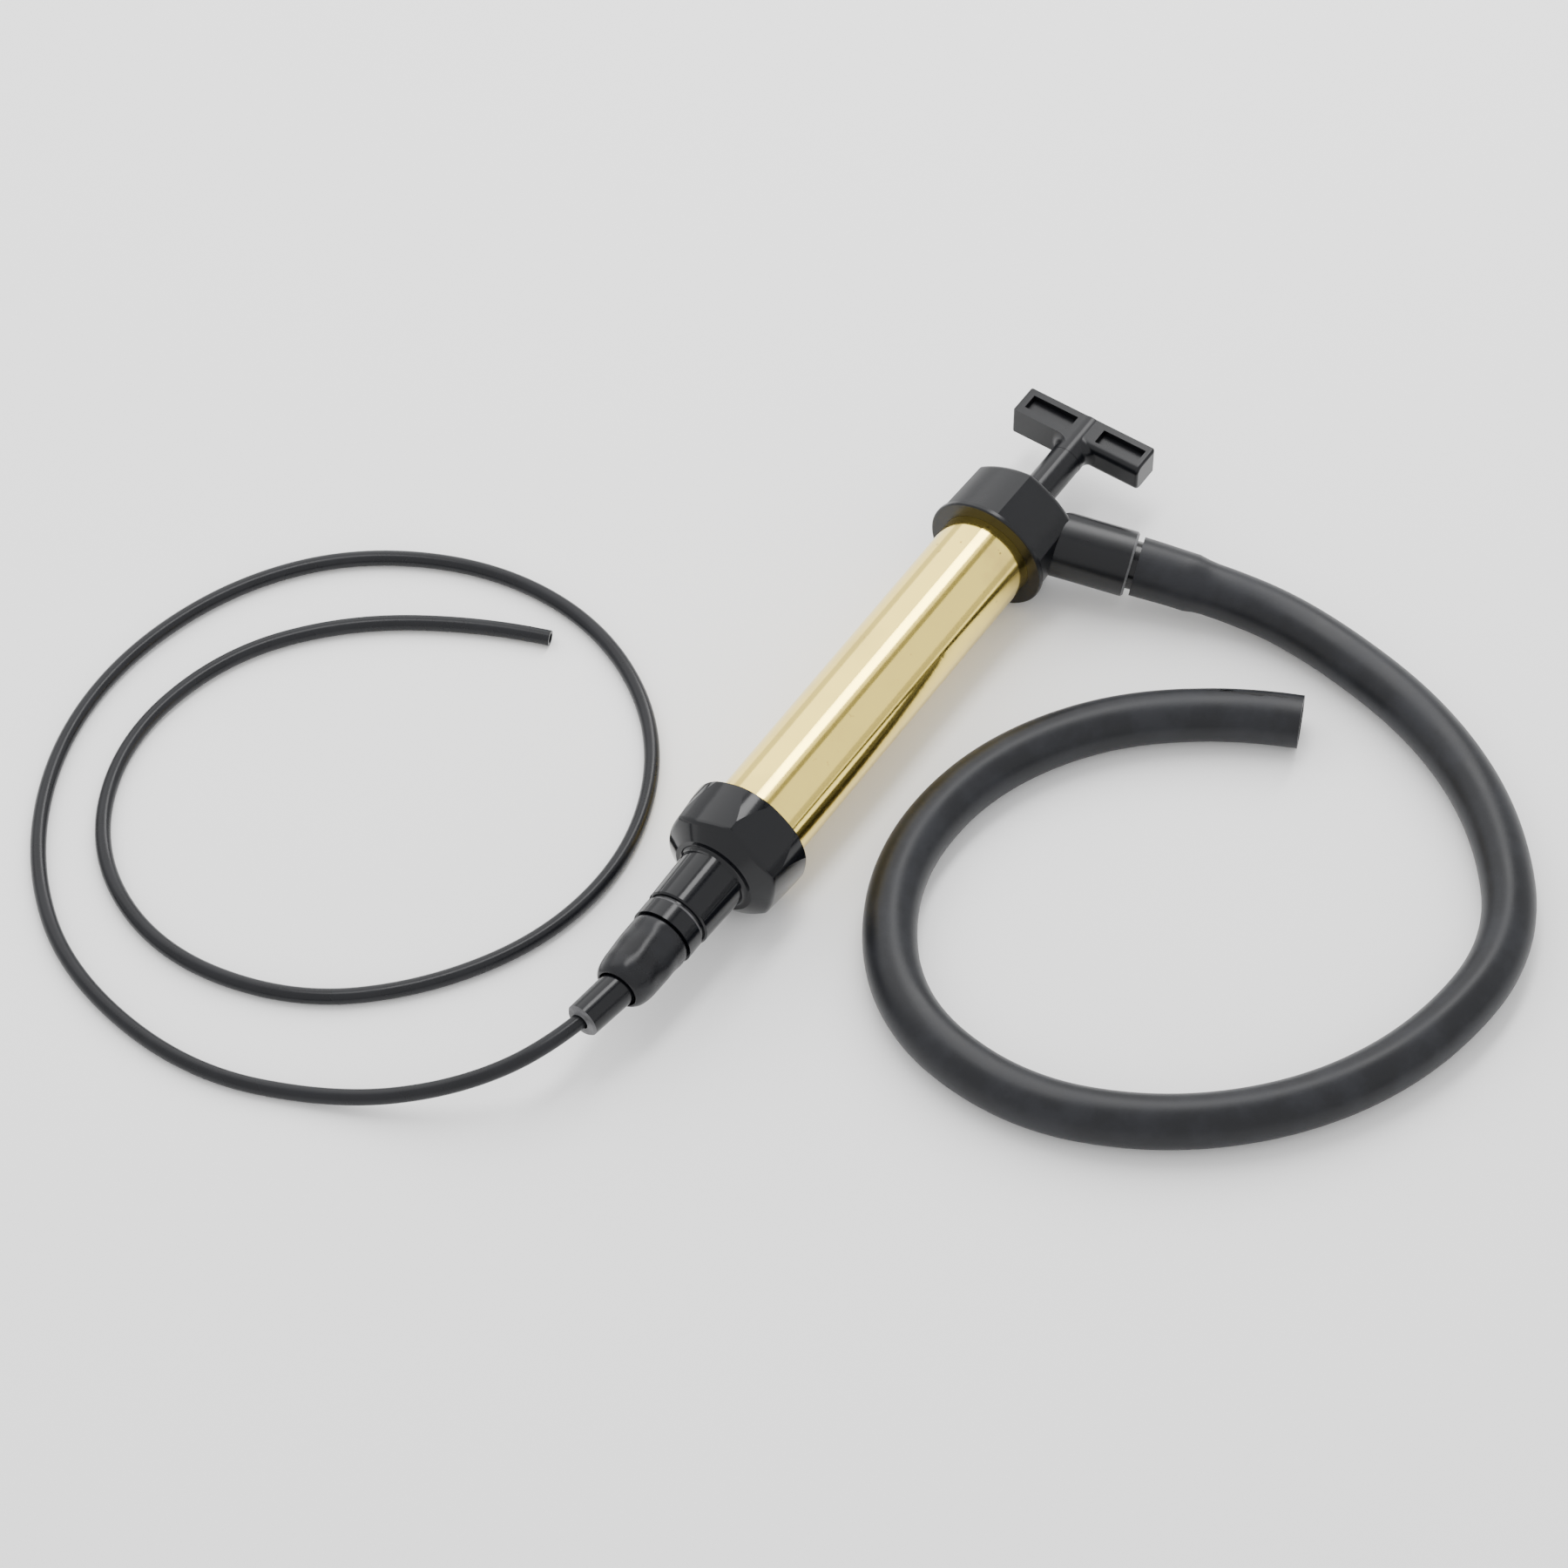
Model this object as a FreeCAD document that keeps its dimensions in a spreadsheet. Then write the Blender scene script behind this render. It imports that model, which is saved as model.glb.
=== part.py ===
import FreeCAD, Part
import Sketcher
import math
import os
from FreeCAD import Vector

# Hand suction pump: brass barrel, T-handle plunger, thin suction tube and discharge hose, lying on its side.
# +X runs along the barrel from the suction end to the handle, +Z is up, and the origin is on the floor
# under the middle of the rigid pump. All lengths are in millimetres, all angles in degrees.

doc = FreeCAD.newDocument("HandPump")

# ---------------------------------------------------------------- driving dimensions
DIMENSIONS = {
    # the pump's own frame starts at the foot cap's rim, on the barrel's axis
    "RimX": -68.7, "AxisY": 23.2, "AxisZ": 26.2,
    # barrel
    "BoreRadius": 19.0, "BarrelRadius": 20.0, "BarrelFoot": -14.0, "BarrelHead": 180.0, "FitGap": 0.05,
    # both end caps
    "CapRadius": 26.2, "FlatCrown": 42.0, "FootFlat": 25.9, "FootSlope": 0.075, "HeadFlat": 24.7, "HeadSlope": 0.035,
    "CapTurn": 98.0,
    "GasketThick": 2.0, "GasketBore": 16.0, "HeadRound": 3.0, "RimRound": 0.8,
    # foot cap and its inlet stub
    "FootShoulder": -19.5, "FootFace": -25.5, "FootNose": 17.6, "FootRound": 3.0, "RootRound": 1.8, "SeatThick": 3.0,
    "StubRoot": 14.5, "StubTip": 13.6, "StubEnd": -50.3, "StubBore": 11.1, "StubFloor": -34.0,
    "Passage": 7.0, "Chamber": 10.0, "ChamberFloor": -21.0,
    # head cap and its outlet stub
    "HeadRim": 169.0, "HeadFace": 197.6, "HeadCavity": 193.0, "GlandRadius": 11.5, "GlandFoot": 184.0,
    "GlandBore": 9.0, "GlandTop": 196.0, "RodHole": 7.6, "OutletX": 185.3, "OutletLean": 19.0,
    "OutletEnd": 52.2, "OutletStub": 13.6, "OutletBore": 9.6, "OutletFloor": 34.0, "OutletPassage": 5.5,
    # plunger rod, handle and screw
    "RodRadius": 7.0, "RodShoulder": 18.0, "Spigot": 4.0, "SpigotEnd": -8.0, "RodTop": 229.0,
    "Tenon": 4.5, "TenonEnd": 243.0, "RunningGap": 0.05,
    "BarFoot": 235.6, "BarHead": 249.6, "BarLeft": 29.8, "BarRight": -30.3, "BarDepth": 13.5, "BarRound": 1.2,
    "RecessFoot": 239.2, "RecessHead": 246.6, "RecessDepth": 2.8, "HubRound": 3.5,
    "ScrewRadius": 2.0, "ScrewFoot": 232.0, "ScrewHead": 4.0, "ScrewHeadThick": 2.2,
    # piston, cup, ring, valve and nut
    "PistonFoot": 1.0, "PistonHead": 12.0, "BossHead": 17.7, "PistonRadius": 18.6, "BossRadius": 6.0,
    "PortRadius": 1.9, "PortCircle": 10.6, "RingFoot": 7.5, "RingWide": 2.4, "RingDeep": 16.6, "RingFit": 0.07,
    "CupInner": 14.8, "CupHead": 5.0, "FollowerFoot": -1.0, "FollowerRadius": 17.4,
    "ValveFoot": 12.3, "ValveThick": 2.0, "ValveRadius": 14.0, "NutFoot": -7.3, "WasherFoot": -2.3,
    "NutHalf": 6.5, "WasherRadius": 7.5,
    # foot valve
    "DiscRadius": 8.5, "DiscThick": 2.0, "DiscGap": 0.3, "StemRadius": 1.5, "StemFoot": -23.2,
    "ClipFoot": -22.7, "ClipThick": 1.0, "ClipRadius": 3.2, "SeatPort": 1.6, "SeatCircle": 5.6,
    # suction end: adapter, sleeve, reducer nozzle, grip
    "AdapterNeck": 12.3, "CollarHead": -51.4, "CollarFoot": -60.5, "Collar": 13.2, "AdapterInner": -36.0,
    "Barb": 9.4, "BarbEnd": -80.0, "BarbRidge": 0.8, "AdapterBore": 6.0, "InletGroove": -43.0, "Section": 1.8,
    "SleeveHead": -61.0, "SleeveFoot": -90.6, "SleeveRadius": 12.5, "SleeveBore": 10.35, "SleeveLip": 8.2,
    "NozzleX": -88.0, "NozzleYaw": 7.0, "NozzleEnd": 22.7, "NozzleRoot": 7.6, "NozzleTip": 7.2,
    "Flange": 9.0, "FlangeThick": 3.6, "FlangeFront": -1.4, "GripRadius": 5.3, "GripStart": 5.0, "GripEnd": 8.5,
    # discharge adapter, hose and tube
    "OutletNeck": 10.0, "OutletInner": 37.0, "OutletBarb": 7.7, "OutletBarbEnd": 77.6, "OutletGroove": 42.0,
    "HoseStart": 54.5, "HoseRadius": 10.75, "HoseBore": 7.75, "TubeRadius": 3.2, "TubeBore": 2.1,
}

sheet = doc.addObject("Spreadsheet::Sheet", "Sizes")
for row, (word, number) in enumerate(DIMENSIONS.items(), start=1):
    sheet.set("A%d" % row, word)
    sheet.set("B%d" % row, str(number))
    sheet.setAlias("B%d" % row, word)
doc.recompute()


class Size:
    """A number together with the sheet expression that drives it."""

    def __init__(self, value, text=None):
        self.value = float(value)
        self.text = repr(float(value)) if text is None else text

    def __add__(self, other):
        other = as_size(other)
        return Size(self.value + other.value, "(%s + %s)" % (self.text, other.text))

    def __sub__(self, other):
        other = as_size(other)
        return Size(self.value - other.value, "(%s - %s)" % (self.text, other.text))

    def __mul__(self, other):
        other = as_size(other)
        return Size(self.value * other.value, "(%s * %s)" % (self.text, other.text))


def as_size(number):
    return number if isinstance(number, Size) else Size(number)


def S(word):
    """The named dimension."""
    return Size(DIMENSIONS[word], "Sizes." + word)


# ---------------------------------------------------------------- sketches and features
SUB_PARTS = []


def new_body(label):
    body = doc.addObject("PartDesign::Body", label)
    body.Label = label
    SUB_PARTS.append(body)
    return body


def new_sketch(body, name, role):
    """An empty sketch on one of the body's own origin planes, found by its role."""
    sketch = body.newObject("Sketcher::SketchObject", name)
    plane = next(item for item in body.Origin.OriginFeatures if item.Role == role)
    sketch.AttachmentSupport = (plane, "")
    sketch.MapMode = "FlatFace"
    return sketch


def constrain(sketch, constraint, length):
    """Add one dimension to a sketch and bind it to the sheet."""
    index = sketch.addConstraint(constraint)
    if "Sizes." in length.text:
        sketch.setExpression("Constraints[%d]" % index, length.text)


def pin(sketch, item, point, x, y):
    """Hold one point of a sketch at (x, y)."""
    for kind, length, axis in (("DistanceX", x, -2), ("DistanceY", y, -1)):
        if abs(length.value) < 1e-9:
            sketch.addConstraint(Sketcher.Constraint("PointOnObject", item, point, axis))
        else:
            constrain(sketch, Sketcher.Constraint(kind, -1, 1, item, point, length.value), length)


def polygon(sketch, points):
    """A closed outline of straight edges with every corner held by the sheet."""
    corners = [(as_size(x), as_size(y)) for x, y in points]
    first = sketch.GeometryCount
    for i, (x, y) in enumerate(corners):
        next_x, next_y = corners[(i + 1) % len(corners)]
        edge = Part.LineSegment(Vector(x.value, y.value, 0), Vector(next_x.value, next_y.value, 0))
        sketch.addGeometry(edge, False)
    for i, (x, y) in enumerate(corners):
        following = first + (i + 1) % len(corners)
        sketch.addConstraint(Sketcher.Constraint("Coincident", first + i, 2, following, 1))
    for i, (x, y) in enumerate(corners):
        pin(sketch, first + i, 1, x, y)


def circle(sketch, x, y, radius):
    x, y, radius = as_size(x), as_size(y), as_size(radius)
    item = sketch.addGeometry(Part.Circle(Vector(x.value, y.value, 0), Vector(0, 0, 1), radius.value), False)
    pin(sketch, item, 3, x, y)
    constrain(sketch, Sketcher.Constraint("Radius", item, radius.value), radius)


def turn(body, name, points, cut=False, axis="H_Axis", sketch=None):
    """Turn an outline of (x, radius) corners about an axis, as added metal or as a cut."""
    sketch = sketch or new_sketch(body, name + "_outline", "XZ_Plane")
    polygon(sketch, points)
    feature = body.newObject("PartDesign::Groove" if cut else "PartDesign::Revolution", name)
    feature.Profile = sketch
    feature.ReferenceAxis = (sketch, [axis])
    feature.Angle = 360.0
    doc.recompute()
    return feature


def extrude(body, name, sketch, length, cut=False, both_ways=True):
    """Pad or pocket a sketch by a driven length."""
    feature = body.newObject("PartDesign::Pocket" if cut else "PartDesign::Pad", name)
    feature.Profile = sketch
    feature.Length = length.value
    feature.setExpression("Length", length.text)
    feature.Midplane = both_ways
    doc.recompute()
    return feature


def repeat(body, name, feature, count):
    """Repeat a feature evenly round the body's X axis."""
    pattern = body.newObject("PartDesign::PolarPattern", name)
    pattern.Originals = [feature]
    pattern.Axis = (feature.Profile[0], ["N_Axis"])
    pattern.Angle = 360.0
    pattern.Occurrences = count
    body.Tip = pattern
    doc.recompute()
    return pattern


def ports(body, name, radius, on_circle, count):
    """A ring of straight holes right through a turned body."""
    sketch = new_sketch(body, name + "_outline", "YZ_Plane")
    circle(sketch, 0, S(on_circle), S(radius))
    hole = extrude(body, name + "_hole", sketch, S("BarrelRadius") * 4, cut=True)
    repeat(body, name, hole, count)


def rims(feature, x, radius):
    """Names of a feature's edges that lie across the X axis at one place, about one radius away from it."""
    names = []
    for i, edge in enumerate(feature.Shape.Edges, start=1):
        start = edge.valueAt(edge.FirstParameter)
        flat = edge.BoundBox.XLength < 0.01 and abs(start.x - x) < 0.01
        if flat and abs(math.hypot(start.y, start.z) - radius) < 1.6:
            names.append("Edge%d" % i)
    return names


def dress(body, kind, name, edges, amount):
    """Round ("Fillet") or bevel ("Chamfer") some edges of the body's latest feature."""
    base = body.Tip
    dressed = body.newObject("PartDesign::" + kind, name)
    dressed.Base = (base, edges)
    word = "Radius" if kind == "Fillet" else "Size"
    setattr(dressed, word, amount.value)
    if "Sizes." in amount.text:
        dressed.setExpression(word, amount.text)
    doc.recompute()


def place(body, along=None, lean=0.0, about=0.0):
    """Put a body in the pump's frame: leaned in its own XZ plane, then turned about the barrel's axis."""
    spin = FreeCAD.Rotation(Vector(1, 0, 0), about)
    tip = FreeCAD.Rotation(Vector(0, 1, 0), lean)
    body.Placement = FreeCAD.Placement(Vector(0, 0, 0), spin.multiply(tip))
    body.setExpression("Placement.Base.x", "Sizes.RimX + Sizes." + along if along else "Sizes.RimX")
    body.setExpression("Placement.Base.y", "Sizes.AxisY")
    body.setExpression("Placement.Base.z", "Sizes.AxisZ")


def ring(label, x0, x1, inner, outer):
    """A plain ring about the barrel's axis."""
    body = new_body(label)
    turn(body, label + "_ring", [(x0, inner), (x1, inner), (x1, outer), (x0, outer)])
    place(body)
    return body


def o_ring(label, middle, floor, wall):
    """A round-section ring that just fits between a groove's floor and a bore's wall."""
    body = new_body(label)
    sketch = new_sketch(body, label + "_section", "XZ_Plane")
    circle(sketch, middle, floor + (wall - floor) * 0.5, (wall - floor) * 0.5)
    feature = body.newObject("PartDesign::Revolution", label + "_ring")
    feature.Profile = sketch
    feature.ReferenceAxis = (sketch, ["H_Axis"])
    feature.Angle = 360.0
    place(body)
    return body


# ---------------------------------------------------------------- barrel, caps and gaskets
def six_flats(body, rim, way, end):
    """Six crowned flats that start at a round rim and deepen away from it.

    Each is cut by a ring whose bore is a large circle set off to one side, carried along a sloping line.
    """
    sketch = new_sketch(body, body.Label + "_flat_outline", "YZ_Plane")
    sketch.setExpression("AttachmentOffset.Base.z", rim.text)
    circle(sketch, 0, 0, Size(90.0))
    circle(sketch, 0, S(end + "Flat") - S("FlatCrown"), S("FlatCrown"))
    flat = body.newObject("PartDesign::Pocket", body.Label + "_flat")
    flat.Profile = sketch
    flat.UseCustomVector = True
    flat.Direction = Vector(way, 0, -DIMENSIONS[end + "Slope"])
    flat.AlongSketchNormal = True
    flat.Length = 40.0
    doc.recompute()
    repeat(body, body.Label + "_flats", flat, 6)


def across_edges(feature, low, high):
    """Names of a feature's edges that run round the X axis between two places along it."""
    names = []
    for i, edge in enumerate(feature.Shape.Edges, start=1):
        box = edge.BoundBox
        if low < box.XMin and box.XMax < high and max(box.YLength, box.ZLength) > 3 * box.XLength:
            names.append("Edge%d" % i)
    return names


def make_barrel_and_gaskets():
    ring("barrel", S("BarrelFoot"), S("BarrelHead"), S("BoreRadius"), S("BarrelRadius"))
    ring("foot_gasket", S("BarrelFoot") - S("GasketThick"), S("BarrelFoot"), S("GasketBore"), S("BarrelRadius"))
    ring("head_gasket", S("BarrelHead"), S("BarrelHead") + S("GasketThick"), S("GasketBore"), S("BarrelRadius"))


def make_foot_cap():
    body = new_body("foot_cap")
    rim, shoulder, face = S("CapRadius"), S("FootShoulder"), S("FootFace")
    turn(body, "foot_shell", [(0, 0), (0, rim), (shoulder, rim), (face, S("FootNose")), (face, 0)])
    six_flats(body, Size(0.0), -1, "Foot")
    dress(body, "Fillet", "foot_nose", across_edges(body.Tip, shoulder.value - 2.0, shoulder.value + 1.0),
          S("FootRound"))
    turn(body, "foot_stub", [(face + 6, 0), (face + 6, S("StubRoot")), (S("StubEnd"), S("StubTip")), (S("StubEnd"), 0)])
    root = rims(body.Tip, face.value, S("StubRoot").value)
    dress(body, "Fillet", "foot_root", root, S("RootRound"))
    dress(body, "Chamfer", "foot_stub_edge", rims(body.Tip, S("StubEnd").value, S("StubTip").value), Size(0.6))
    seat = S("BarrelFoot") - S("GasketThick") - S("SeatThick")
    socket = S("BarrelRadius") + S("FitGap")
    turn(body, "foot_bores", [
        (1, 0), (1, socket), (seat, socket), (seat, S("Chamber")), (S("ChamberFloor"), S("Chamber")),
        (S("ChamberFloor"), S("Passage")), (S("StubFloor"), S("Passage")), (S("StubFloor"), S("StubBore")),
        (S("StubEnd") - 1, S("StubBore")), (S("StubEnd") - 1, 0)], cut=True)
    place(body, about=DIMENSIONS["CapTurn"])


def leaning_sketch(body, name):
    """A sketch whose construction line is the outlet's axis, and a function that places (length, radius) on it."""
    sketch = new_sketch(body, name, "XZ_Plane")
    sine, cosine = Size(math.sin(LEAN), "sin(Sizes.OutletLean)"), Size(math.cos(LEAN), "cos(Sizes.OutletLean)")

    def at(length, radius):
        length, radius = as_size(length), as_size(radius)
        return (S("OutletX") + length * sine + radius * cosine, length * cosine - radius * sine)

    (x0, z0), (x1, z1) = at(0, 0), at(S("OutletEnd"), 0)
    axis = sketch.addGeometry(Part.LineSegment(Vector(x0.value, z0.value, 0), Vector(x1.value, z1.value, 0)), True)
    pin(sketch, axis, 1, x0, z0)
    pin(sketch, axis, 2, x1, z1)
    return sketch, at


def lean_turn(body, name, points, cut=False):
    """Turn an outline of (length, radius) corners about the outlet's leaning axis."""
    sketch, at = leaning_sketch(body, name + "_outline")
    turn(body, name, [at(length, radius) for length, radius in points], cut, "Axis0", sketch)


def make_head_cap():
    body = new_body("head_cap")
    rim, foot, face = S("CapRadius"), S("HeadRim"), S("HeadFace")
    turn(body, "head_shell", [(foot, 0), (foot, rim), (face, rim), (face, 0)])
    six_flats(body, foot, 1, "Head")
    turn(body, "head_rim", [(foot, 0), (foot, rim), (foot + 2, rim), (foot + 2, 0)])
    dress(body, "Fillet", "head_rim_edge", rims(body.Tip, foot.value, rim.value), S("RimRound"))
    dress(body, "Fillet", "head_edge", across_edges(body.Tip, face.value - 0.1, face.value + 0.1), S("HeadRound"))
    lean_turn(body, "outlet_stub", [(16, 0), (16, S("OutletStub")), (S("OutletEnd") - 0.9, S("OutletStub")),
                                    (S("OutletEnd"), S("OutletStub") - 0.9), (S("OutletEnd"), 0)])
    turn(body, "head_top_clear", [(face, 0), (face, rim - 5), (face + 20, rim - 5), (face + 20, 0)], cut=True)
    socket, seat = S("BarrelRadius") + S("FitGap"), S("BarrelHead") + S("GasketThick")
    turn(body, "head_bores", [
        (foot - 1, 0), (foot - 1, socket), (seat, socket), (seat, S("GasketBore")),
        (S("HeadCavity"), S("GasketBore")), (S("HeadCavity"), S("GlandRadius")), (S("GlandFoot"), S("GlandRadius")),
        (S("GlandFoot"), S("GlandBore")), (S("GlandTop"), S("GlandBore")), (S("GlandTop"), S("RodHole")),
        (face + 1, S("RodHole")), (face + 1, 0)], cut=True)
    lean_turn(body, "outlet_bores", [
        (14, 0), (14, S("OutletPassage")), (S("OutletFloor"), S("OutletPassage")),
        (S("OutletFloor"), S("OutletBore")), (S("OutletEnd") + 1, S("OutletBore")), (S("OutletEnd") + 1, 0)], cut=True)
    place(body, about=DIMENSIONS["CapTurn"])


def make_gland():
    ring("seal_retainer", S("GlandFoot"), S("GlandFoot") + 1, S("RodRadius") + 0.5, S("GlandBore") - 0.02)
    ring("rod_seal", S("GlandFoot") + 1.1, S("GlandFoot") + 4.1, S("RodRadius") + 0.04, S("GlandBore") - 0.02)
    ring("rod_bush", S("GlandFoot") + 4.2, S("GlandTop"), S("RodRadius") + S("RunningGap"), S("GlandBore") - 0.02)


# ---------------------------------------------------------------- foot valve
def make_foot_valve():
    top = S("BarrelFoot") - S("GasketThick")
    seat = top - S("SeatThick")
    plate = new_body("foot_valve_plate")
    bore, rim = S("StemRadius") + 0.08, S("BarrelRadius") - 0.1
    turn(plate, "plate", [(seat, bore), (top, bore), (top, rim), (seat, rim)])
    ports(plate, "plate_ports", "SeatPort", "SeatCircle", 6)
    place(plate)
    disc = new_body("foot_valve_disc")
    under = top + S("DiscGap")
    over, stem = under + S("DiscThick"), S("StemRadius")
    turn(disc, "disc_and_stem", [(S("StemFoot"), 0), (over, 0), (over, S("DiscRadius")), (under, S("DiscRadius")),
                                 (under, stem), (S("StemFoot"), stem)])
    place(disc)
    ring("foot_valve_clip", S("ClipFoot"), S("ClipFoot") + S("ClipThick"), S("StemRadius") + 0.01, S("ClipRadius"))


# ---------------------------------------------------------------- piston and its seals
def make_piston():
    bore = S("Spigot") + 0.06
    foot, head, rim = S("PistonFoot"), S("PistonHead"), S("PistonRadius")
    body = new_body("piston_body")
    turn(body, "piston_core", [
        (foot, bore), (S("BossHead"), bore), (S("BossHead"), S("BossRadius")), (head, S("BossRadius")), (head, rim),
        (S("RingFoot") + S("RingWide"), rim), (S("RingFoot") + S("RingWide"), S("RingDeep")),
        (S("RingFoot"), S("RingDeep")), (S("RingFoot"), rim), (S("CupHead"), rim), (S("CupHead"), S("CupInner") - 0.03),
        (foot, S("CupInner") - 0.03)])
    ports(body, "piston_ports", "PortRadius", "PortCircle", 6)
    place(body)
    o_ring("piston_ring", S("RingFoot") + S("RingWide") * 0.5, S("RingDeep"), S("BoreRadius") - S("RingFit"))
    ring("cup_seal", foot, S("CupHead") - 0.02, S("CupInner"), S("BoreRadius") - S("RingFit"))
    follower = new_body("cup_follower")
    turn(follower, "follower", [(S("FollowerFoot"), bore), (foot, bore), (foot, S("FollowerRadius")),
                                (S("FollowerFoot"), S("FollowerRadius"))])
    ports(follower, "follower_ports", "PortRadius", "PortCircle", 6)
    place(follower)
    ring("piston_valve", S("ValveFoot"), S("ValveFoot") + S("ValveThick"), S("BossRadius") + 0.08, S("ValveRadius"))


# ---------------------------------------------------------------- plunger
def make_plunger():
    rod = new_body("plunger_rod")
    turn(rod, "rod", [(S("SpigotEnd"), 0), (S("SpigotEnd"), S("Spigot")), (S("RodShoulder"), S("Spigot")),
                      (S("RodShoulder"), S("RodRadius")), (S("RodTop"), S("RodRadius")), (S("RodTop"), S("Tenon")),
                      (S("TenonEnd"), S("Tenon")), (S("TenonEnd"), S("ScrewRadius") + 0.02),
                      (S("ScrewFoot"), S("ScrewRadius") + 0.02), (S("ScrewFoot"), 0)])
    place(rod)
    ring("nut_washer", S("WasherFoot"), S("WasherFoot") + 1, S("Spigot") + 0.05, S("WasherRadius"))
    nut = new_body("rod_nut")
    sketch = new_sketch(nut, "nut_outline", "YZ_Plane")
    tall, wide = S("NutHalf") * (2 / math.sqrt(3)), S("NutHalf")
    polygon(sketch, [(0, tall), (wide, tall * 0.5), (wide, tall * -0.5), (0, tall * -1),
                     (wide * -1, tall * -0.5), (wide * -1, tall * 0.5)])
    circle(sketch, 0, 0, S("Spigot") + 0.01)
    extrude(nut, "nut_pad", sketch, S("NutFoot") * -2, both_ways=True)
    turn(nut, "nut_trim", [(S("WasherFoot"), 0), (20, 0), (20, 12), (S("WasherFoot"), 12)], cut=True)
    place(nut)


def make_handle():
    body = new_body("t_handle")
    foot, head, left, right = S("BarFoot"), S("BarHead"), S("BarLeft"), S("BarRight")
    bar = new_sketch(body, "bar_outline", "XY_Plane")
    polygon(bar, [(foot, right), (head, right), (head, left), (foot, left)])
    extrude(body, "bar", bar, S("BarDepth"))
    rod, start = S("RodRadius") + 0.1, S("RodTop")
    turn(body, "hub", [(start, 0), (start, rod), (head, rod), (head, 0)])
    dress(body, "Fillet", "hub_root", rims(body.Tip, foot.value, rod.value), S("HubRound"))
    ends = ["Edge%d" % i for i, edge in enumerate(body.Tip.Shape.Edges, start=1)
            if edge.BoundBox.YMin > left.value - 0.01 or edge.BoundBox.YMax < right.value + 0.01]
    dress(body, "Fillet", "bar_ends", ends, S("BarRound"))
    recess = new_sketch(body, "recess_outline", "XY_Plane")
    recess.setExpression("AttachmentOffset.Base.z", "Sizes.BarDepth / 2 - Sizes.RecessDepth")
    for inner, outer in ((5.0, 26.2), (-7.6, -27.6)):
        polygon(recess, [(S("RecessFoot"), inner), (S("RecessHead"), inner), (S("RecessHead"), outer),
                         (S("RecessFoot"), outer)])
    pocket = extrude(body, "recesses", recess, S("BarDepth"), cut=True, both_ways=False)
    pocket.Reversed = True
    doc.recompute()
    screw = S("ScrewRadius") + 0.02
    turn(body, "handle_bores", [(start - 1, 0), (start - 1, S("Tenon") + 0.05), (S("TenonEnd"), S("Tenon") + 0.05),
                                (S("TenonEnd"), screw), (head - S("ScrewHeadThick") - 0.3, screw),
                                (head - S("ScrewHeadThick") - 0.3, S("ScrewHead") + 0.2),
                                (head + 1, S("ScrewHead") + 0.2), (head + 1, 0)], cut=True)
    place(body)
    bolt = new_body("handle_screw")
    under = head - S("ScrewHeadThick") - 0.3
    turn(bolt, "screw", [(S("ScrewFoot") + 0.1, 0), (S("ScrewFoot") + 0.1, S("ScrewRadius")), (under, S("ScrewRadius")),
                         (under, S("ScrewHead")), (head - 0.3, S("ScrewHead")), (head - 0.3, 0)])
    slot = new_sketch(bolt, "slot_outline", "XZ_Plane")
    polygon(slot, [(head - 1.2, -0.5), (head + 1, -0.5), (head + 1, 0.5), (head - 1.2, 0.5)])
    extrude(bolt, "slot", slot, S("ScrewHead") * 3, cut=True)
    place(bolt)


# ---------------------------------------------------------------- suction and discharge fittings
def ridged(start, end, base, ridge, count):
    """The outline of a barbed spigot, from its root to its tip: each barb rises towards the root."""
    step = (end - start) * (1 / count)
    corners = []
    for i in range(count):
        root = start + step * i
        corners += [(root + step * 0.3, base + ridge), (root + step, base)]
    return corners


def make_suction_fittings():
    adapter = new_body("inlet_adapter")
    inner, spigot, groove = S("AdapterInner"), S("StubBore") - S("FitGap"), S("InletGroove")
    half, deep = S("Section") * 0.6, S("StubBore") - S("Section")
    turn(adapter, "adapter", [
        (inner, S("AdapterBore")), (inner, spigot), (groove + half, spigot), (groove + half, deep),
        (groove - half, deep), (groove - half, spigot), (S("StubEnd"), spigot), (S("StubEnd"), S("AdapterNeck")),
        (S("CollarHead"), S("AdapterNeck")), (S("CollarHead") - 1.4, S("Collar")), (S("CollarFoot"), S("Collar")),
        (S("CollarFoot"), S("Barb"))]
        + ridged(S("CollarFoot") - 1, S("BarbEnd"), S("Barb"), S("BarbRidge"), 4)
        + [(S("BarbEnd"), S("AdapterBore"))])
    place(adapter)
    o_ring("inlet_oring", groove, deep, S("StubBore"))
    sleeve = new_body("coupling_sleeve")
    head, foot, wide = S("SleeveHead"), S("SleeveFoot"), S("SleeveRadius")
    turn(sleeve, "sleeve", [
        (head, S("SleeveBore")), (head, wide - 0.4), (head - 0.6, wide), (head - 20, wide - 0.2),
        (head - 25, wide - 0.7), (head - 28, wide - 1.7), (foot + 0.6, wide - 2.6), (foot, wide - 3.4),
        (foot, S("SleeveLip")), (foot + 2, S("SleeveLip")), (foot + 2, S("SleeveBore"))])
    place(sleeve)
    nozzle = new_body("reducer_nozzle")
    front = S("FlangeFront")
    back, end, tube = front - S("FlangeThick"), S("NozzleEnd"), S("TubeRadius") + S("FitGap")
    turn(nozzle, "nozzle", [
        (back, S("GripRadius")), (back, S("Flange")), (front, S("Flange")), (front, S("NozzleRoot")),
        (end - 0.9, S("NozzleTip")), (end, S("NozzleTip") - 0.9), (end, tube), (S("GripEnd") + 0.2, tube),
        (S("GripEnd") + 0.2, S("GripRadius"))])
    place_nozzle(nozzle)
    grip = new_body("tube_grip")
    turn(grip, "grip", [(S("GripStart"), tube), (S("GripEnd"), tube), (S("GripEnd"), S("GripRadius") - 0.02),
                        (S("GripStart"), S("GripRadius") - 0.02)])
    place_nozzle(grip)


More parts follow.
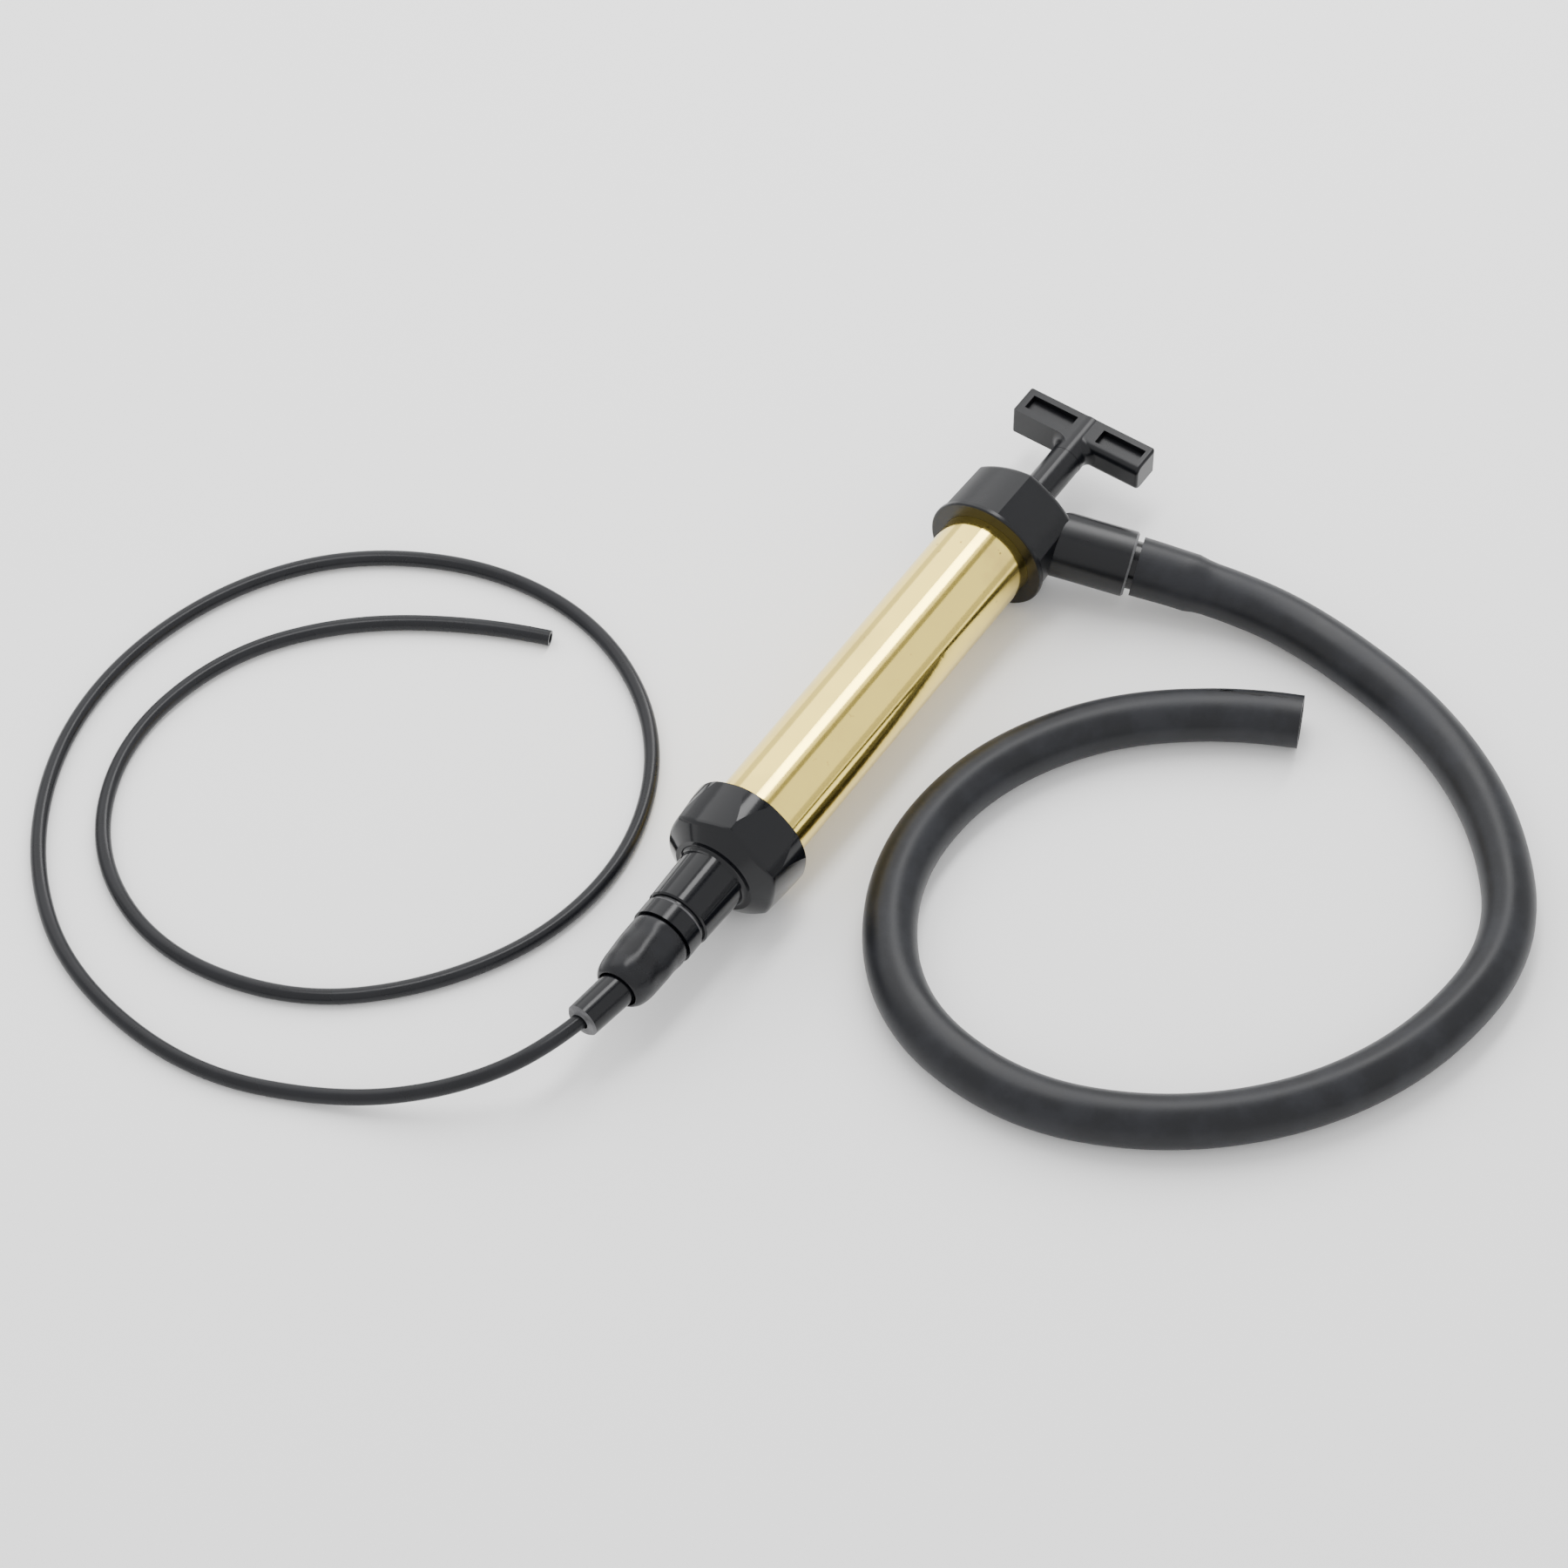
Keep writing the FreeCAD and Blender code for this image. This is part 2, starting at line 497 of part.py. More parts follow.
def place_nozzle(body):
    """The nozzle and its grip point back along the barrel, yawed a little in the soft sleeve."""
    place(body, along="NozzleX")
    rotation = FreeCAD.Rotation(Vector(0, 0, 1), 180.0 - DIMENSIONS["NozzleYaw"])
    body.Placement = FreeCAD.Placement(body.Placement.Base, rotation)


def make_discharge_fittings():
    adapter = new_body("outlet_adapter")
    inner, spigot, groove = S("OutletInner"), S("OutletBore") - S("FitGap"), S("OutletGroove")
    half, deep = S("Section") * 0.6, S("OutletBore") - S("Section")
    end, start, barb = S("OutletEnd"), S("HoseStart"), S("OutletBarb")
    turn(adapter, "outlet", [
        (inner, S("OutletPassage")), (inner, spigot), (groove - half, spigot), (groove - half, deep),
        (groove + half, deep), (groove + half, spigot), (end, spigot), (end, S("OutletNeck")),
        (start, S("OutletNeck")), (start, barb), (S("OutletBarbEnd") - 2, barb), (S("OutletBarbEnd"), barb - 0.8),
        (S("OutletBarbEnd"), S("OutletPassage"))])
    place_outlet(adapter)
    place_outlet(o_ring("outlet_oring", groove, deep, S("OutletBore")))


def place_outlet(body):
    """Along the outlet: from the barrel's axis out through the middle of one of the head cap's flats."""
    place(body, along="OutletX", lean=DIMENSIONS["OutletLean"] - 90.0, about=DIMENSIONS["CapTurn"])


# ---------------------------------------------------------------- hose and tube
LEAN = math.radians(DIMENSIONS["OutletLean"])

HOSE_WAY = [
    (134.34, -27.83, 19.03), (146.55, -62.95, 14.10), (150.5, -103.0, 10.75), (137.5, -164.0, 10.75),
    (108.0, -212.0, 10.75), (61.0, -246.5, 10.75), (1.5, -243.0, 10.75), (-49.5, -218.5, 10.75),
    (-89.0, -176.0, 10.75), (-110.0, -122.5, 10.75), (-99.0, -64.0, 10.75), (-51.0, -28.5, 10.75),
    (7.0, -25.5, 10.75), (59.5, -50.0, 10.75), (97.0, -94.0, 10.75), (108.5, -121.2, 10.75)]

TUBE_WAY = [
    (-161.66, 23.81, 26.2), (-192.5, 27.6, 26.2), (-224.0, 52.5, 14.0), (-249.0, 92.0, 3.2),
    (-270.0, 148.0, 3.2), (-259.0, 214.0, 3.2), (-224.5, 258.5, 3.2), (-175.5, 286.0, 3.2), (-122.0, 292.5, 3.2),
    (-67.5, 278.0, 3.2), (-25.5, 245.5, 3.2), (-0.5, 194.0, 3.2), (-2.5, 139.5, 3.2), (-32.5, 92.0, 3.2),
    (-82.5, 66.5, 3.2), (-137.5, 68.0, 3.2), (-186.5, 94.0, 3.2), (-221.5, 134.5, 3.2), (-231.5, 192.0, 3.2),
    (-207.0, 241.5, 3.2), (-157.0, 266.5, 3.2), (-100.0, 259.5, 3.2), (-57.0, 228.0, 3.2), (-27.0, 180.5, 3.2),
    (-18.5, 155.0, 3.2)]


def make_cord(label, points, outer, inner):
    """A hollow cord: straight runs joined by tangent arcs, swept as two pipes and subtracted."""
    corners = [Vector(*point) for point in points]
    edges, here, radii = [], corners[0], []
    for before, corner, after in zip(corners, corners[1:], corners[2:]):
        way_in, way_out = (corner - before), (after - corner)
        shorter = min(way_in.Length, way_out.Length)
        half_turn = way_in.getAngle(way_out) / 2
        way_in.normalize()
        way_out.normalize()
        reach = 0.45 * shorter
        radii.append(reach / math.tan(half_turn))
        start, end = corner - way_in * reach, corner + way_out * reach
        to_middle = (way_out - way_in).normalize()
        middle = corner + to_middle * (radii[-1] / math.cos(half_turn) - radii[-1])
        edges.append(Part.LineSegment(here, start).toShape())
        edges.append(Part.Arc(start, middle, end).toShape())
        here = end
    edges.append(Part.LineSegment(here, corners[-1]).toShape())
    path = Part.Wire(edges)
    first = corners[1] - corners[0]
    pipes = []
    for radius in (outer, inner):
        section = Part.Wire([Part.makeCircle(radius.value, corners[0], first)])
        pipes.append(path.makePipeShell([section], True, True))
    cord = doc.addObject("Part::Feature", label)
    cord.Label = label
    cord.Shape = pipes[0].cut(pipes[1])
    SUB_PARTS.append(cord)
    expected = math.pi * (outer.value ** 2 - inner.value ** 2) * path.Length
    print("%s: length %.1f, radii %s, volume %.0f of %.0f" % (
        label, path.Length, " ".join("%.0f" % radius for radius in radii), cord.Shape.Volume, expected))
    if abs(cord.Shape.Volume / expected - 1) > 0.02:
        raise ValueError(label + " did not sweep cleanly")


# ---------------------------------------------------------------- build, check and write
make_barrel_and_gaskets()
make_foot_cap()
make_head_cap()
make_gland()
make_foot_valve()
make_piston()
make_plunger()
make_handle()
make_suction_fittings()
make_discharge_fittings()
make_cord("discharge_hose", HOSE_WAY, S("HoseRadius"), S("HoseBore"))
make_cord("suction_tube", TUBE_WAY, S("TubeRadius"), S("TubeBore"))
doc.recompute()

for item in doc.Objects:
    faults = [state for state in item.State if state in ("Invalid", "Error")]
    if faults:
        raise ValueError("%s is %s" % (item.Label, faults))

rigid = FreeCAD.BoundBox()
os.makedirs("parts", exist_ok=True)
for item in SUB_PARTS:
    shape = item.Shape
    if shape.isNull() or not shape.isValid() or shape.Volume <= 0:
        raise ValueError(item.Label + " has no sound solid")
    box = shape.BoundBox
    if item.Label not in ("discharge_hose", "suction_tube"):
        rigid.add(box)
    print("%-18s %9.0f mm3, %d solid, x %7.1f %7.1f  y %7.1f %7.1f  z %6.1f %6.1f" % (
        item.Label, shape.Volume, len(shape.Solids), box.XMin, box.XMax, box.YMin, box.YMax, box.ZMin, box.ZMax))
    shape.exportStep("parts/%s.step" % item.Label)
print("rigid pump: x %.2f %.2f  y %.2f %.2f  z %.2f %.2f" % (
    rigid.XMin, rigid.XMax, rigid.YMin, rigid.YMax, rigid.ZMin, rigid.ZMax))
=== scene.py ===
import math

import bpy
from mathutils import Matrix, Vector, kdtree


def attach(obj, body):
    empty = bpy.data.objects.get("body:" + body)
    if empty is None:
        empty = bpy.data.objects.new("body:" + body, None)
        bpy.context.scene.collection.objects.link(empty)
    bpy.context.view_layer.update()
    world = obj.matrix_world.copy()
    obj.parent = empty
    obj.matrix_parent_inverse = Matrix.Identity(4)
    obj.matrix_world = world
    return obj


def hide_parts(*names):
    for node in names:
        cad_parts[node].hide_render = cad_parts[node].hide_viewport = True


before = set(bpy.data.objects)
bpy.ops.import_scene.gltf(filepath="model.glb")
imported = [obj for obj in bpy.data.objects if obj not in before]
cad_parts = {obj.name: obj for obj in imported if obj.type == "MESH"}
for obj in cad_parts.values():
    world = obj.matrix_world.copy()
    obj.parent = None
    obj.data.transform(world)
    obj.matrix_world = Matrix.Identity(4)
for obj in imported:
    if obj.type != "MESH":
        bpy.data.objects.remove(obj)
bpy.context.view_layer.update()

bl_info = {
    "name": "Hand Bilge Pump",
    "version": (1, 0, 0),
    "blender": (4, 5, 0),
    "location": "View3D > Sidebar > Pump",
    "description": "Finishes a brass-barrelled hand pump with its handle, fittings, hose and tube",
    "category": "Object",
}

MM = 0.001
# the point of the barrel's axis level with the foot cap's rim, in the frame shared with the CAD
RIM = Vector((-68.7, 23.2, 26.2)) * MM
OUTLET_X = 185.3 * MM
OUTLET_LEAN = math.radians(19.0)
OUTLET_DROP = math.radians(8.0)
OUTLET_WAY = Vector((math.sin(OUTLET_LEAN), -math.cos(OUTLET_LEAN) * math.cos(OUTLET_DROP),
                     -math.cos(OUTLET_LEAN) * math.sin(OUTLET_DROP)))
NOZZLE_X = -88.0 * MM
NOZZLE_YAW = math.radians(7.0)
# the bevelled rims painted light grey as a painted highlight: where each starts along its piece
COLLAR_BEVEL = (-53.0 * MM, -51.5 * MM)
OUTLET_BEVEL = 51.4 * MM
NOZZLE_BEVEL = 21.9 * MM

# the studio: where the lights look, then (name, place, length, width, watts or shade)
LOOKS_AT = Vector((0.0, 0.02, 0.03))
LIGHTS = (("strip", (0.66, 0.21, 1.14), 1.8, 0.31, 18.0),
          ("left", (0.45, 1.05, 0.95), 2.0, 1.1, 10.5))
CARDS = (("dark_card", (0.66, -0.21, 1.12), 2.0, 0.2, 0.22),
         ("grey_card", (0.5, -1.5, 0.2), 2.6, 0.36, 0.45))
SKY_STRENGTH = 1.45
CAMERA_PLACE = Vector((-1.1963, -0.7515, 1.8467))
CAMERA_RIGHT = Vector((0.5584, -0.8296, 0.0))
CAMERA_FORWARD = Vector((0.5038, 0.3391, -0.7945))
CAMERA_LENS = 134.42

# lower than the usual 1.5, which keeps the black pieces deep under a bright sky
PLASTIC_IOR = 1.36
RUBBER_IOR = 1.32

# what wears or stains the surfaces, the dark streak painted on the hose as a painted reflection, and where
# along the barrel or the hose's end, in metres
TARNISH = (0.66, 0.50, 0.16)
SPECK = (0.20, 0.12, 0.04)
# the dark colour of the streak painted along the hose's top near its free end, a painted reflection
PAINTED_REFLECTION_DARK = (0.0006, 0.0006, 0.0008)
STEEL = (0.62, 0.62, 0.64)
DULL_AT_HEAD = (0.120, 0.172)
DULL_AT_FOOT = (-0.02, 0.008, 0.02)
PAINTED_REFLECTION_ALONG = (-0.042, -0.008, 0.012)
PAINTED_REFLECTION_ACROSS = (0.0018, 0.0034, 0.0009)

# the sleeve's section as (distance along the barrel's axis, radius) in mm
SLEEVE_OUTLINE = [
    (-61.05, 10.6), (-61.05, 12.0), (-61.5, 12.5), (-64.0, 12.7), (-68.0, 12.35), (-73.0, 12.45),
    (-78.0, 12.2), (-82.5, 12.1), (-85.5, 11.7), (-88.0, 11.0), (-89.6, 10.1), (-90.5, 9.1),
    (-90.6, 8.3), (-89.0, 8.3), (-88.7, 10.4), (-75.0, 10.5)]
SLEEVE_SKIN = 10.8 * MM
SLEEVE_WAVE = 0.019
SLEEVE_FADES = ((-0.0905, -0.083), (-0.0635, -0.0615))

# the points that each cord's curve is drawn by, from its root to its free end
HOSE_WAY = [
    (0.13434, -0.02783, 0.01903), (0.14655, -0.06295, 0.01410), (0.1505, -0.1030, 0.01075),
    (0.1375, -0.1640, 0.01075), (0.1080, -0.2120, 0.01075), (0.0610, -0.2465, 0.01075),
    (0.0015, -0.2430, 0.01075), (-0.0495, -0.2185, 0.01075), (-0.0890, -0.1760, 0.01075),
    (-0.1100, -0.1225, 0.01075), (-0.0990, -0.0640, 0.01075), (-0.0510, -0.0285, 0.01075),
    (0.0070, -0.0255, 0.01075), (0.0595, -0.0500, 0.01075), (0.0970, -0.0940, 0.01075),
    (0.1085, -0.1212, 0.01075)]
HOSE_END_TURN = (0.0, 0.0, math.radians(-67.0))
# how the hose draws in from its root, by distance along it: on the barb, at the barb's end and past it
ON_BARB = (0.0, 0.020)
BARB_STEP = (0.0235, 0.0295)
PAST_BARB = (0.024, 0.066)
STEP_SHARE = 0.7

TUBE_WAY = [
    (-0.16166, 0.02381, 0.0262), (-0.1925, 0.0276, 0.0262), (-0.2240, 0.0525, 0.0140),
    (-0.2490, 0.0920, 0.0032), (-0.2700, 0.1480, 0.0032), (-0.2590, 0.2140, 0.0032),
    (-0.2245, 0.2585, 0.0032), (-0.1755, 0.2860, 0.0032), (-0.1220, 0.2925, 0.0032),
    (-0.0675, 0.2780, 0.0032), (-0.0255, 0.2455, 0.0032), (-0.0005, 0.1940, 0.0032),
    (-0.0025, 0.1395, 0.0032), (-0.0325, 0.0920, 0.0032), (-0.0825, 0.0665, 0.0032),
    (-0.1375, 0.0680, 0.0032), (-0.1865, 0.0940, 0.0032), (-0.2215, 0.1345, 0.0032),
    (-0.2315, 0.1920, 0.0032), (-0.2070, 0.2415, 0.0032), (-0.1570, 0.2665, 0.0032),
    (-0.1000, 0.2595, 0.0032), (-0.0570, 0.2280, 0.0032), (-0.0270, 0.1805, 0.0032),
    (-0.0185, 0.1550, 0.0032)]


# ---------------------------------------------------------------- settings
class PumpColours(bpy.types.PropertyGroup):
    brass: bpy.props.FloatVectorProperty(
        name="Brass", description="Colour of the barrel", subtype="COLOR", size=3, min=0, max=1,
        default=(1.0, 0.775, 0.19))
    plastic: bpy.props.FloatVectorProperty(
        name="Black plastic", description="Colour of the caps, stem and handle", subtype="COLOR", size=3,
        min=0, max=1, default=(0.0026, 0.0029, 0.0040))
    hose: bpy.props.FloatVectorProperty(
        name="Hose", description="Colour of the thick hose", subtype="COLOR", size=3, min=0, max=1,
        default=(0.0085, 0.009, 0.011))
    tube: bpy.props.FloatVectorProperty(
        name="Tube", description="Colour of the thin tube", subtype="COLOR", size=3, min=0, max=1,
        default=(0.0075, 0.0078, 0.0095))
    sleeve: bpy.props.FloatVectorProperty(
        name="Sleeve", description="Colour of the soft sleeve", subtype="COLOR", size=3, min=0, max=1,
        default=(0.0055, 0.0058, 0.007))
    seals: bpy.props.FloatVectorProperty(
        name="Seals", description="Colour of the seals inside", subtype="COLOR", size=3, min=0, max=1,
        default=(0.014, 0.014, 0.014))
    # the bevel grey is a painted highlight on the fittings' bevelled rims
    bevel_highlight: bpy.props.FloatVectorProperty(
        name="Bevel grey", description="Colour of the light bevels on the fittings", subtype="COLOR", size=3,
        min=0, max=1, default=(0.10, 0.10, 0.105))
    floor: bpy.props.FloatVectorProperty(
        name="Floor", description="Colour of the studio floor", subtype="COLOR", size=3, min=0, max=1,
        default=(0.93, 0.93, 0.93))


class PumpSizes(bpy.types.PropertyGroup):
    hose_radius: bpy.props.FloatProperty(
        name="Hose radius", description="Outer radius of the thick hose", subtype="DISTANCE", unit="LENGTH",
        default=10.75 * MM, min=0.002, max=0.03)
    hose_wall: bpy.props.FloatProperty(
        name="Hose wall", description="Wall thickness of the thick hose", subtype="DISTANCE", unit="LENGTH",
        default=3.0 * MM, min=0.0005, max=0.01)
    hose_flare: bpy.props.FloatProperty(
        name="Hose flare", description="How far the outlet's barb stretches the hose", subtype="DISTANCE",
        unit="LENGTH", default=1.55 * MM, min=0.0, max=0.004)
    tube_radius: bpy.props.FloatProperty(
        name="Tube radius", description="Outer radius of the thin tube", subtype="DISTANCE", unit="LENGTH",
        default=3.2 * MM, min=0.001, max=0.01)
    tube_wall: bpy.props.FloatProperty(
        name="Tube wall", description="Wall thickness of the thin tube", subtype="DISTANCE", unit="LENGTH",
        default=1.1 * MM, min=0.0002, max=0.003)


# ---------------------------------------------------------------- shader maths
class Value:
    """A number in a node tree: arithmetic on it adds Math nodes."""

    def __init__(self, tree, socket):
        self.tree = tree
        self.socket = socket

    def math(self, operation, *others):
        inputs = [self] + list(others)
        return self.tree.add("ShaderNodeMath", {"operation": operation}, dict(enumerate(inputs)))

    def __add__(self, other):
        return self.math("ADD", other)

    __radd__ = __add__

    def __sub__(self, other):
        return self.math("SUBTRACT", other)

    def __rsub__(self, other):
        return self.tree.add("ShaderNodeMath", {"operation": "SUBTRACT"}, {0: other, 1: self})

    def __mul__(self, other):
        return self.math("MULTIPLY", other)

    def above(self, low, high):
        """0 below low, 1 above high, and smooth between them."""
        return self.tree.add("ShaderNodeMapRange", {"interpolation_type": "SMOOTHSTEP"},
                             {"Value": self, "From Min": low, "From Max": high})

    def between(self, low, high, soft):
        """1 from low to high, falling smoothly to 0 on both sides."""
        return self.above(low - soft, low) * (1 - self.above(high, high + soft))


class Tree:
    """A material's node tree."""

    def __init__(self, name):
        self.material = bpy.data.materials.new(name)
        self.material.use_nodes = True
        self.nodes = self.material.node_tree.nodes
        self.links = self.material.node_tree.links
        self.shader = self.nodes["Principled BSDF"]
        self.point = self.add("ShaderNodeTexCoord", {}, {}, "Object")

    def add(self, kind, settings, inputs, output=0):
        """One node: its settings first, then the values or links of its sockets."""
        node = self.nodes.new(kind)
        for word, setting in settings.items():
            setattr(node, word, setting)
        for socket, given in inputs.items():
            self.feed(node.inputs[socket], given)
        return Value(self, node.outputs[output])

    def feed(self, socket, given):
        if isinstance(given, Value):
            self.links.new(given.socket, socket)
        else:
            socket.default_value = given

    def set(self, **inputs):
        """Sets the shader's sockets: base_color becomes Base Color."""
        for word, given in inputs.items():
            self.feed(self.shader.inputs["IOR" if word == "ior" else word.replace("_", " ").title()], given)
        return self.material

    def noise(self, scale, detail, point=None, roughness=0.55):
        inputs = {"Vector": point or self.point, "Scale": scale, "Detail": detail, "Roughness": roughness}
        return self.add("ShaderNodeTexNoise", {}, inputs, "Fac")

    def moved(self, place, scale=(1, 1, 1), turn=(0, 0, 0)):
        """Object coordinates measured from a place, turned and scaled."""
        return self.add("ShaderNodeMapping", {"vector_type": "TEXTURE"},
                        {"Vector": self.point, "Location": place, "Rotation": turn, "Scale": scale})

    def parts(self, vector):
        node = self.nodes.new("ShaderNodeSeparateXYZ")
        self.feed(node.inputs[0], vector)
        return [Value(self, out) for out in node.outputs]

    def colours(self, factor, first, second):
        node = self.nodes.new("ShaderNodeMix")
        node.data_type = "RGBA"
        for socket, given in ((0, factor), (6, first), (7, second)):
            self.feed(node.inputs[socket], given if isinstance(given, (Value, float, int)) else rgba(given))
        return Value(self, node.outputs[2])

    def bump(self, height, strength, distance):
        return self.add("ShaderNodeBump", {}, {"Height": height, "Strength": strength, "Distance": distance})


def rgba(colour):
    """A colour with full alpha."""
    return (*tuple(colour)[:3], 1.0)


def colours():
    return bpy.context.scene.pump_colours


def sizes():
    return bpy.context.scene.pump_sizes


def brass_material():
    """Polished brass with faint rings round it, dull patches near the caps and brown specks."""
    tree = Tree("brass")
    x, _, _ = tree.parts(tree.moved(tuple(RIM)))
    rings = tree.noise(1.0, 4.0, tree.moved(tuple(RIM), (0.004, 0.25, 0.25)), 0.6)
    cloud = tree.noise(38.0, 4.0)
    dull = x.above(*DULL_AT_HEAD) * 0.5 + x.between(*DULL_AT_FOOT) * 0.2
    tarnish = cloud.above(0.42, 0.72) * (0.25 + dull) + rings.above(0.60, 0.72) * 0.22
    specks = tree.noise(330.0, 2.0).above(0.70, 0.76) * (0.25 + dull)
    base = tree.colours(tarnish, colours().brass, TARNISH)
    base = tree.colours(specks, base, SPECK)
    rough = 0.075 + rings * 0.07 + tarnish * 0.08
    return tree.set(base_color=base, metallic=1.0, roughness=rough,
                    normal=tree.bump(rings + cloud * 0.3, 0.12, 0.0004))


def plastic_material(name, roughness):
    """Moulded black plastic with a slight unevenness in its shine."""
    tree = Tree(name)
    fine = tree.noise(420.0, 3.0)
    broad = tree.noise(55.0, 2.0)
    base = tree.colours(broad, colours().plastic, [c * 1.35 for c in colours().plastic])
    return tree.set(base_color=base, ior=PLASTIC_IOR, roughness=roughness + broad * 0.06 + fine * 0.04,
                    normal=tree.bump(fine * 0.15 + broad, 0.25, 0.00012))


def painted_bevel_highlight_material():
    """The light grey of the fittings' bevelled rims, a painted highlight, with darker scuffed patches."""
    tree = Tree("painted bevel highlight")
    patches = tree.noise(160.0, 3.0)
    base = tree.colours(patches.above(0.3, 0.7), colours().bevel_highlight, [c * 0.45 for c in colours().bevel_highlight])
    return tree.set(base_color=base, roughness=0.45 + patches * 0.1)


def rubber_material(name, colour, roughness, mottle):
    """Rubber that is paler in soft patches: mottle is how strongly."""
    tree = Tree(name)
    cloud = tree.noise(70.0, 4.0)
    grain = tree.noise(900.0, 3.0)
    base = tree.colours(cloud.above(0.35, 0.7) * mottle, colour, [min(1.0, c * 1.9) for c in colour])
    return tree.set(base_color=base, ior=RUBBER_IOR, roughness=roughness + (cloud - 0.5) * 0.16,
                    normal=tree.bump(grain * 0.5 + cloud, 0.18, 0.0002))


def hose_material():
    """The hose's rubber, with a dark glossy streak painted beside its free end as a painted reflection."""
    tree = Tree("hose rubber")
    x, y, _ = tree.parts(tree.moved(HOSE_WAY[-1], turn=HOSE_END_TURN))
    reflection_streak_noise = tree.noise(1.0, 3.0, tree.moved(HOSE_WAY[-1], (0.012, 0.003, 0.01), HOSE_END_TURN))
    # a dark streak painted along the top of the hose near its free end, a painted reflection line beside its
    # highlight
    painted_reflection_streak = x.between(*PAINTED_REFLECTION_ALONG) * y.between(*PAINTED_REFLECTION_ACROSS) * reflection_streak_noise.above(0.38, 0.58)
    cloud = tree.noise(60.0, 5.0)
    grain = tree.noise(900.0, 3.0)
    base = tree.colours(cloud.above(0.38, 0.68) * 0.6, colours().hose, [c * 2.1 for c in colours().hose])
    base = tree.colours(painted_reflection_streak * 0.9, base, PAINTED_REFLECTION_DARK)
    return tree.set(base_color=base, ior=RUBBER_IOR, roughness=0.40 + (cloud - 0.5) * 0.22 - painted_reflection_streak * 0.22,
                    normal=tree.bump(grain * 0.5 + cloud, 0.2, 0.00025))


def steel_material():
    tree = Tree("steel")
    grain = tree.noise(600.0, 3.0)
    return tree.set(base_color=rgba(STEEL), metallic=1.0, roughness=0.28 + grain * 0.12)


# ---------------------------------------------------------------- modelling helpers
def deselect():
    for item in bpy.context.selected_objects:
        item.select_set(False)


def only(item):
    deselect()
    item.select_set(True)
    bpy.context.view_layer.objects.active = item


def dress(item, material, slot, body, *nodes):
    """Gives a finished piece its material, its body and the CAD nodes it stands for; slot is not used."""
    item.data.materials.clear()
    item.data.materials.append(material)
    if nodes:
        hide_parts(*nodes)
    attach(item, body)


def paint(material, *nodes):
    """Gives CAD nodes a material and leaves their shape alone."""
    for name in nodes:
        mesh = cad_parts[name].data
        mesh.materials.clear()
        mesh.materials.append(material)


def spline_curve(name, points):
    """A smooth curve that follows given points."""
    curve = bpy.data.curves.new(name, "CURVE")
    curve.dimensions = "3D"
    curve.resolution_u = 14
    curve.use_fill_caps = False
    spline = curve.splines.new("NURBS")
    spline.points.add(len(points) - 1)
    for item, point in zip(spline.points, points):
        item.co = (*point, 1.0)
    spline.order_u = 3
    spline.use_endpoint_u = True
    item = bpy.data.objects.new(name, curve)
    bpy.context.collection.objects.link(item)
    return item


def tube_from_curve(name, points, radius, wall):
    """A hollow tube of mesh along a smooth curve, and the points of its centreline."""
    item = spline_curve(name, points)
    line = bpy.data.meshes.new_from_object(item)
    path = [tuple(vertex.co) for vertex in line.vertices]
    bpy.data.meshes.remove(line)
    item.data.bevel_depth = radius
    item.data.bevel_resolution = 14
    only(item)
    bpy.ops.object.convert(target="MESH")
    item = bpy.context.object
    shell = item.modifiers.new("wall", "SOLIDIFY")
    shell.thickness = wall
    shell.offset = -1.0
    shell.use_even_offset = False
    bpy.ops.object.modifier_apply(modifier=shell.name)
    bpy.ops.object.shade_smooth_by_angle(angle=math.radians(50.0))
    return item, path


def spun(name, outline, steps):
    """A closed ring of (x, radius) corners in mm spun about the barrel's axis."""
    deselect()
    bpy.ops.mesh.primitive_plane_add(size=0.01, location=(0.0, 0.0, 0.0))
    item = bpy.context.object
    item.name = name
    mesh = item.data
    mesh.clear_geometry()
    corners = [RIM + Vector((x, 0.0, radius)) * MM for x, radius in outline]
    edges = [(i, (i + 1) % len(corners)) for i in range(len(corners))]
    mesh.from_pydata(corners, edges, [])
    only(item)
    bpy.ops.object.mode_set(mode="EDIT")
    bpy.ops.mesh.select_all(action="SELECT")
    bpy.ops.mesh.spin(steps=steps, angle=math.tau, center=tuple(RIM), axis=(1.0, 0.0, 0.0))
    bpy.ops.mesh.select_all(action="SELECT")
    bpy.ops.mesh.remove_doubles(threshold=1e-5)
    bpy.ops.mesh.normals_make_consistent(inside=False)
    bpy.ops.object.mode_set(mode="OBJECT")
    return item


def facing(place, target):
    """A matrix at a place whose -Z looks at a target and whose X runs along the barrel."""
    back = (place - target).normalized()
    across = (Vector((1.0, 0.0, 0.0)) - back * back.x).normalized()
    turn = Matrix((across, back.cross(across), back)).transposed().to_4x4()
    return Matrix.Translation(place) @ turn


def reshape_tube(item, path, factor):
    """Scales a tube's section by factor(distance along it), about its centreline."""
    tree = kdtree.KDTree(len(path))
    along = [0.0]
    for i, point in enumerate(path):
        tree.insert(point, i)
        if i:
            along.append(along[-1] + (Vector(point) - Vector(path[i - 1])).length)
    tree.balance()
    for vertex in item.data.vertices:
        centre, i, _ = tree.find(vertex.co)
        vertex.co = centre + (vertex.co - centre) * factor(along[i])


def smooth_step(value, low, high):
    t = min(1.0, max(0.0, (value - low) / (high - low)))
    return t * t * (3.0 - 2.0 * t)


def paint_faces(material, node, chosen):
    """Gives the faces of a CAD node whose centres are chosen a second material."""
    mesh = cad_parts[node].data
    mesh.materials.append(material)
    for face in mesh.polygons:
        if chosen(face.center):
            face.material_index = len(mesh.materials) - 1


